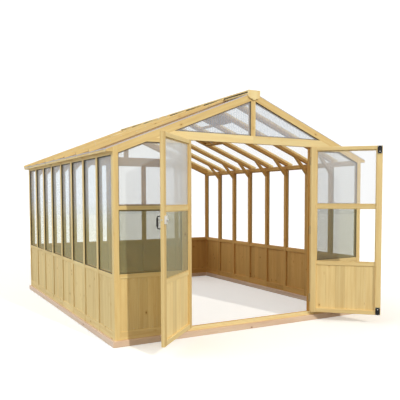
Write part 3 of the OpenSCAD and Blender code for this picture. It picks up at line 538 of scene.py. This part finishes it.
def block(low, high):
    """A block with these two corners, in edit mode."""
    low, high = Vector(low), Vector(high)
    bpy.ops.object.select_all(action="DESELECT")
    bpy.ops.mesh.primitive_cube_add(size=1, location=(low + high) / 2, scale=high - low)
    bpy.ops.object.transform_apply()
    bpy.ops.object.mode_set(mode="EDIT")
    return bpy.context.object


def join(pieces):
    """Makes one object of several."""
    bpy.ops.object.select_all(action="DESELECT")
    for piece in pieces:
        piece.select_set(True)
    bpy.context.view_layer.objects.active = pieces[0]
    if len(pieces) > 1:
        bpy.ops.object.join()
    return pieces[0]


def slope_turn(side):
    """Turns what is drawn down a level X axis onto the left or right slope."""
    return Matrix.Translation((0, 0, APEX)) @ Matrix.Rotation(side * PITCH, 4, "Y")


def rafter_y(i):
    """Where the middle of a post, rafter or batten stands, counted from the front."""
    return POST / 2 + pitch * i


channels, foams_gap_shade, fillets = [], [], []
for side in (-1, 1):
    # Each channel by two corners and the way its open side looks, along the eave and the gables
    spans = []
    for i in range(BAYS):
        front = rafter_y(i) + SHEET_GAP if i else 0
        back = rafter_y(i + 1) - SHEET_GAP if i < BAYS - 1 else length
        spans.append(((side * (EAVE - CHANNEL), front), (side * (EAVE + CHANNEL_T), back), (-side, 0)))
    spans += [((side * CAP_EDGE, -CHANNEL_T), (side * EAVE, CHANNEL), (0, 1)),
              ((side * CAP_EDGE, length - CHANNEL), (side * EAVE, length + CHANNEL_T), (0, -1))]
    for first, last, inward in spans:
        channel = block((min(first[0], last[0]), first[1], BED_GAP),
                        (max(first[0], last[0]), last[1], SHEET + CHANNEL_T))
        pick(lambda face: face.normal.x * inward[0] + face.normal.y * inward[1] > 0.9)
        bpy.ops.mesh.inset(thickness=CHANNEL_LIP)
        bpy.ops.mesh.extrude_region_move(
            TRANSFORM_OT_translate={"value": (-inward[0] * GROOVE, -inward[1] * GROOVE, 0)})
        bpy.ops.object.mode_set(mode="OBJECT")
        channel.data.transform(slope_turn(side))
        channels.append(channel)
    near, far = sorted((side * (CAP_EDGE - FILLET_W), side * CAP_EDGE))
    for i in range(BAYS):
        if i != VENT_BAY:
            front = rafter_y(i) + BATTEN_W / 2 if i else SHEET_GAP
            back = rafter_y(i + 1) - BATTEN_W / 2
            for bottom, top, kind in ((SHEET, FILLET_TOP, fillets), (FILLET_TOP, FOAM_TOP, foams_gap_shade)):
                strip = block((near, front, bottom), (far, back, top))
                bpy.ops.mesh.select_all(action="SELECT")
                bpy.ops.mesh.bevel(offset=0.0015, segments=2)
                bpy.ops.object.mode_set(mode="OBJECT")
                strip.data.transform(slope_turn(side))
                kind.append(strip)

# The channel is extruded plastic, smooth and a little grey; the foam is open-celled and dull, and its black
# is also painted shade of the gap under the cap
seat(join(channels), "sheet_end_channels", "house",
     smooth_finish("white_channel", "#cfcbd2", 0, 0.4, 3))
seat(join(fillets), "ridge_fillets", "house",
     planed_timber("planed_ridge_fillet", ALONG, (-1, 0, 0), (FAR, pitch, FAR), paint_inside_shade=False))
seat(join(foams_gap_shade), "ridge_foam_gap_shade", "house", smooth_finish("black_foam_gap_shade", "#241d16", 0, 0.9, 1.5))


# Doors: stiles and rails of planed softwood, boards below and twin-wall panes above.
# Each leaf is measured and drawn in its own directions, from its hinge pins.
OPEN = math.radians(134.5)
DOOR_BOARDS = 6
LEAF_RAIL_STEP = 0.4
MARGIN = 0.01
# Side, way it opens, timber of rails and boards (a paler copy of the pine, painted light), and the milk and
# low tint of the panes (the low tint a painted reflection)
LEAVES = (("left", -1, PALE_PINE_PAINTED_LIGHT, (0.28, 0.52), "#dce0c4"),
          ("right", 1, MILD_PINE_PAINTED_LIGHT, (0.03, 0.18), "#e8ece4"))
joints = {joint["name"]: joint for joint in frame["joints"]}
leaf_turns = {}


def measured(node, place):
    """Lowest and highest corner of a door node, in its own leaf's directions."""
    back = place.inverted()
    spots = [back @ vertex.co for vertex in nodes[node].data.vertices]
    return [Vector([rule(spot[i] for spot in spots) for i in range(3)]) for rule in (min, max)]


for side, sign, colours, milk, low_tint_and_reflection in LEAVES:
    axis = Vector(joints[side + "_door_swing"]["pos_m"])
    place = Matrix.Translation((axis.x, axis.y, 0)) @ Matrix.Rotation(sign * OPEN, 4, "Z")
    leaf_turns[side] = place
    turn = ((axis.x, axis.y, 0), (0, 0, sign * OPEN))
    low, high = measured(side + "_door_stiles", place)
    leaf_w = high.x - low.x
    dress(planed_timber("planed_" + side + "_stiles", UPRIGHT, (low.x - MARGIN, low.y, 0),
                        (leaf_w / 2 + MARGIN, FAR, FAR), turn=turn,
                        colours=PINE if side == "left" else colours), side + "_door_stiles")
    dress(planed_timber("planed_" + side + "_rails", ACROSS, (low.x, low.y, 0),
                        (FAR, FAR, LEAF_RAIL_STEP), turn=turn, colours=colours), side + "_door_rails")
    low, high = measured(side + "_door_boards", place)
    board = (high.x - low.x + BOARD_GAP) / DOOR_BOARDS
    dress(planed_timber("tongued_" + side + "_boards", UPRIGHT, low, (board, FAR, FAR), turn=turn,
                        colours=colours), side + "_door_boards")
    dress(twin_wall("twin_wall_" + side + "_door", (1, 0, 0), milk, low_tint_and_reflection, "#f2f8ff", MID_RAIL,
                    turn=turn, shading=0.9), side + "_door_panes")
    out = place.to_3x3() @ Vector((0, -1, 0))
    # Dark gasket round each door pane, partly painted shade of its reveal
    line_panes(side + "_door_gaskets", side + "_door_panes", side + "_door",
               lambda face: face.normal.dot(out) > 0.9, 0.002, 0.003, rubber)
    line_panes(side + "_door_beads", side + "_door_panes", side + "_door",
               lambda face: face.normal.dot(out) < -0.9, 0.009, 0.0035, bead)


# Iron and steel: handle and bolts are black, and the latch has a white case with a zinc knob
# and bolt. The vents' fittings are zinc too, and the hinges have a sand coat close to the timber.
# Powder coats are satin with a faint orange peel; zinc plate is a pale metal with a soft gleam
black = smooth_finish("black_powder_coat", "#1d1e20", 0, 0.42, 1.2)
zinc = smooth_finish("bright_zinc_plate", "#dfe2e4", 1, 0.4, 2.5)
sand = smooth_finish("sand_powder_coat", "#cfb27a", 0, 0.45, 2.5)
latch_finish = smooth_finish("white_powder_coat", "#eeeeec", 0, 0.35, 2)
dress(black, "pull_handle", "bolt_plates", "top_bolt", "bottom_bolt")
dress(sand, "jamb_hinges", "left_door_hinges", "right_door_hinges", "hinge_pins")
dress(latch_finish, "latch_case")
dress(zinc, "vent_fixed_fittings", "latch_knob", "latch_bolt", "left_vent_fittings", "left_vent_stay",
      "right_vent_fittings", "right_vent_stay")


# Nails and screws: one head of each kind, copied to every place where it holds something.
# Nails have a small flat head, timber screws stand on a washer, and hinge screws lie flush.
def turned(radius, depth, steps, sides=8):
    """The mesh of a round head on the origin: a disc, whose top each step narrows and raises."""
    bpy.ops.object.select_all(action="DESELECT")
    bpy.ops.mesh.primitive_cylinder_add(vertices=sides, radius=radius, depth=depth,
                                        location=(0, 0, depth / 2))
    bpy.ops.object.transform_apply()
    bpy.ops.object.mode_set(mode="EDIT")
    pick(lambda face: face.normal.z > 0.9)
    for narrow, rise in steps:
        bpy.ops.mesh.inset(thickness=narrow)
        bpy.ops.transform.translate(value=(0, 0, rise))
    bpy.ops.object.mode_set(mode="OBJECT")
    mesh = bpy.context.object.data
    bpy.data.objects.remove(bpy.context.object)
    return mesh


def drive(name, head, spots, body, finish, turn=Matrix()):
    """Copies a head to every spot, each a place and the way it looks, and joins the copies."""
    copies = []
    for place, way in spots:
        copy = bpy.data.objects.new(name, head.copy())
        copy.data.transform(turn @ Matrix.Translation(place)
                            @ Vector(way).to_track_quat("Z", "Y").to_matrix().to_4x4())
        bpy.context.scene.collection.objects.link(copy)
        copies.append(copy)
    seat(join(copies), name, body, finish)


nail = turned(0.0022, 0.0004, ((0.0007, 0.0003),))
screw = turned(0.007, 0.001, ((0.0025, 0), (0.0002, 0.0014), (0.0012, 0.0008), (0.001, -0.0006)))
flush_screw = turned(0.0034, 0.00008, ((0.0012, 0), (0.0002, -0.00005)), 10)
pan_screw = turned(0.0032, 0.0005, ((0.0008, 0.0005), (0.0009, -0.0003)), 10)

# Two nails in each board of the walls, 14 mm from its foot and its top
low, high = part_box("side_boards")
heights = (low.z + 0.014, high.z - 0.014)
board = (pitch - POST) / SIDE_BOARDS
drive("side_board_nails", nail, [((side * high.x, POST + pitch * i + board * (j + 0.5), z), (side, 0, 0))
                                 for side in (-1, 1) for i in range(BAYS) for j in range(SIDE_BOARDS)
                                 for z in heights], "house", zinc)
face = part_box("front_boards")[0].y
board = (front_high.x - jamb_x) / FRONT_BOARDS
drive("front_board_nails", nail, [((side * (jamb_x + board * (j + 0.5)), face, z), (0, -1, 0))
                                  for side in (-1, 1) for j in range(FRONT_BOARDS) for z in heights],
      "house", zinc)
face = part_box("back_boards")[1].y
board = (back_pitch - POST) / BACK_BOARDS
drive("back_board_nails", nail, [((POST - half + back_pitch * i + board * (j + 0.5), face, z), (0, 1, 0))
                                 for i in range(BACK_BAYS) for j in range(BACK_BOARDS) for z in heights],
      "house", zinc)

# Five screws down each batten, 0.3 m apart from 0.25 m below the ridge; one screw in the
# fascias at each post
for name, side in (("left", -1), ("right", 1)):
    drive(name + "_batten_screws", screw,
          [((side * (0.25 + 0.3 * k), rafter_y(i), BATTEN_TOP), (0, 0, 1))
           for i in range(1, BAYS + 1) for k in range(5)], "house", zinc, slope_turn(side))
low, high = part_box("eave_fascias")
drive("fascia_screws", screw, [((side * high.x, rafter_y(i), (low.z + high.z) / 2), (side, 0, 0))
                               for side in (-1, 1) for i in range(BAYS + 1)], "house", zinc)

# Three screws in each half of each hinge, by their distance from the pins and their height
# over its middle, and two nails in each board of a leaf, 12 mm from its foot and its top
HINGE_HEIGHTS = (0.251, 1.00975, 1.7685)
HINGE_HOLES = ((0.015, -0.03), (0.03, 0), (0.015, 0.03))
for side, sign in (("left", 1), ("right", -1)):
    axis = Vector(joints[side + "_door_swing"]["pos_m"])
    holes = [(y, z + step) for z in HINGE_HEIGHTS for y, step in HINGE_HOLES]
    drive(side + "_door_hinge_screws", flush_screw,
          [((sign * 0.0002, y, z), (-sign, 0, 0)) for y, z in holes],
          side + "_door", sand, leaf_turns[side])
    drive(side + "_jamb_hinge_screws", flush_screw,
          [((axis.x - sign * 0.0002, axis.y + y, z), (sign, 0, 0)) for y, z in holes],
          "house", sand)
    low, high = measured(side + "_door_boards", leaf_turns[side])
    board = (high.x - low.x) / DOOR_BOARDS
    drive(side + "_door_nails", nail, [((low.x + board * (j + 0.5), low.y, z), (0, -1, 0))
                                       for j in range(DOOR_BOARDS) for z in (low.z + 0.012, high.z - 0.012)],
          side + "_door", zinc, leaf_turns[side])

# Four screws in each bolt plate and in the latch case, whose middles are all FITTING_X from
# the pins; faces are measured from the pins too, towards the inside
FITTING_X = 0.727
LATCH_Z = 1.18
BOLT_PLATE_FACE = 0.0415
LATCH_CASE_FACE = 0.053
drive("bolt_plate_screws", pan_screw, [((x - FITTING_X, BOLT_PLATE_FACE, z), (0, 1, 0))
                                       for x in (-0.018, 0.018) for z in (0.110, 0.176, 1.8435, 1.9095)],
      "right_door", zinc, leaf_turns["right"])
drive("latch_screws", pan_screw, [((FITTING_X + x, LATCH_CASE_FACE, LATCH_Z + z), (0, 1, 0))
                                  for x in (-0.014, 0.014) for z in (-0.029, 0.029)],
      "left_door", zinc, leaf_turns["left"])


# Small plates and caps: a strike for the latch, keep plates round the bolt holes, bright
# caps on the bolts' finger pins and a moulded grip on the pull handle.
def pierced(width, height, thick, hole):
    """A plate with eased corners and a round opening, lying on the origin."""
    plate = block((-width / 2, -height / 2, 0), (width / 2, height / 2, thick))
    pick(lambda edge: abs(edge.verts[0].co.z - edge.verts[1].co.z) > thick / 2, "EDGE")
    bpy.ops.mesh.bevel(offset=0.003, segments=3)
    bpy.ops.object.mode_set(mode="OBJECT")
    bpy.ops.object.select_all(action="DESELECT")
    bpy.ops.mesh.primitive_cylinder_add(vertices=24, radius=hole, depth=6 * thick)
    cutter = bpy.context.object
    cut = plate.modifiers.new("opening", "BOOLEAN")
    cut.operation = "DIFFERENCE"
    cut.object = cutter
    bpy.context.view_layer.objects.active = plate
    bpy.ops.object.modifier_apply(modifier="opening")
    bpy.data.objects.remove(cutter)
    mesh = plate.data
    bpy.data.objects.remove(plate)
    return mesh


# The keeps are measured from the middle of the doorway, and the rest from the hinge pins
KEEP_X = 0.0315
KEEP_Y = 0.0405
LEAF_EDGE = 0.757
LEAF_MIDDLE = 0.0235
PIN_END = 0.063
HANDLE_Y = -0.03
HANDLE_Z = 1.157
drive("strike_plate", pierced(0.02, 0.06, 0.001, 0.007), [((-LEAF_EDGE, LEAF_MIDDLE, LATCH_Z), (-1, 0, 0))],
      "right_door", zinc, leaf_turns["right"])
drive("bolt_keep_plates", pierced(0.03, 0.02, 0.001, 0.0064),
      [((KEEP_X, KEEP_Y, 0.0975), (0, 0, 1)), ((KEEP_X, KEEP_Y, 1.922), (0, 0, -1))],
      "house", zinc)
cap = turned(0.0055, 0.004, ((0.0012, 0.0012), (0.0018, 0.0008)), 16)
for body, z in (("top_bolt", 1.8545), ("bottom_bolt", 0.165)):
    drive(body + "_cap", cap, [((-FITTING_X, PIN_END, z), (0, 1, 0))], body, zinc,
          leaf_turns["right"])
bpy.ops.mesh.primitive_cylinder_add(vertices=16, radius=0.009, depth=0.078,
                                    location=(FITTING_X, HANDLE_Y, HANDLE_Z))
bpy.ops.object.transform_apply()
grip = bpy.context.object
bpy.ops.object.mode_set(mode="EDIT")
pick(lambda edge: abs(edge.verts[0].co.z - edge.verts[1].co.z) < 0.001, "EDGE")
bpy.ops.mesh.bevel(offset=0.0035, segments=3)
bpy.ops.object.mode_set(mode="OBJECT")
grip.data.transform(leaf_turns["left"])
seat(grip, "handle_grip", "left_door", black)
